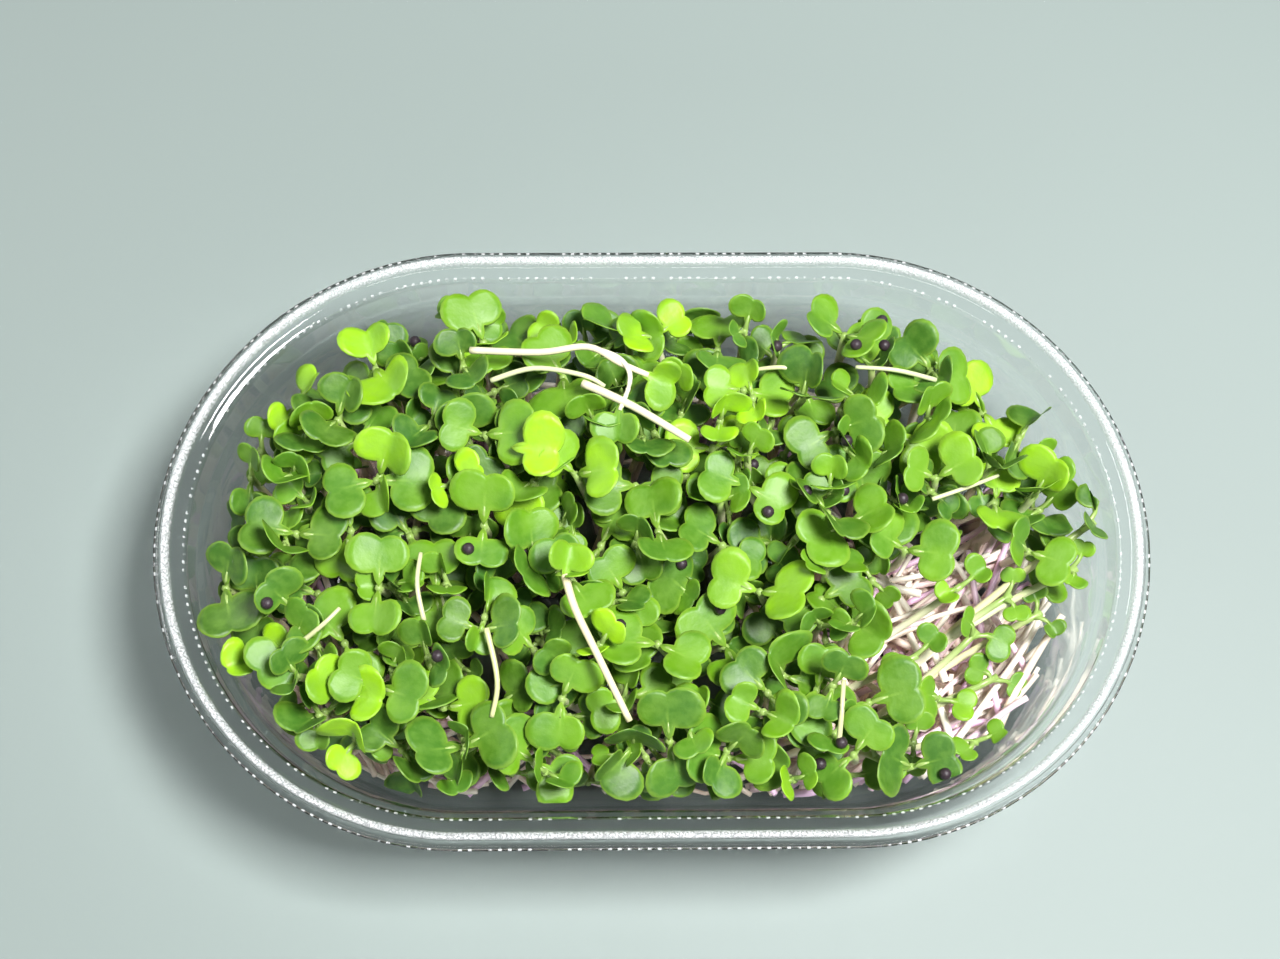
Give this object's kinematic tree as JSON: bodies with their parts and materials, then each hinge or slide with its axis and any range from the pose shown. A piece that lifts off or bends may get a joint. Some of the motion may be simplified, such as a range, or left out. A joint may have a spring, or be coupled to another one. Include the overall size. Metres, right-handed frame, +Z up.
{
  "type": "microgreens tray",
  "caption": "Clear stadium-shaped tray with a rolled rim, heaped with cut kale seedlings: paired notched seed leaves on pale stems.",
  "frame": {"origin": "centre of the tray's footprint on the surface it stands on", "axes": "+X along the tray's long side, +Y away from the viewer in the picture, +Z up"},
  "size_m": [0.1842, 0.1152, 0.0528],
  "materials": {
    "tray": "clear thermoformed sheet, polished",
    "greens": "smooth living leaf with a soft sheen, pale stem",
    "stems": "moist pale stem, cream to pink"
  },
  "bodies": {
    "root": {"tray": "tray", "lying_stems_1": "stems", "lying_stems_2": "stems", "lying_stems_3": "stems", "bunch_01": "greens", "bunch_02": "greens", "bunch_03": "greens", "bunch_04": "greens", "bunch_05": "greens", "bunch_06": "greens", "bunch_07": "greens", "bunch_08": "greens", "bunch_09": "greens", "bunch_10": "greens", "bunch_11": "greens", "bunch_12": "greens", "bunch_13": "greens", "bunch_14": "greens", "bunch_15": "greens", "bunch_16": "greens", "bunch_17": "greens", "bunch_18": "greens", "bunch_19": "greens", "bunch_20": "greens", "bunch_21": "greens", "bunch_22": "greens", "bunch_23": "greens", "bunch_24": "greens", "bunch_25": "greens", "bunch_26": "greens", "bunch_27": "greens", "bunch_28": "greens", "bunch_29": "greens", "bunch_30": "greens", "bunch_31": "greens", "bunch_32": "greens", "bunch_33": "greens", "bunch_34": "greens", "bunch_35": "greens", "bunch_36": "greens"}
  },
  "joints": []
}
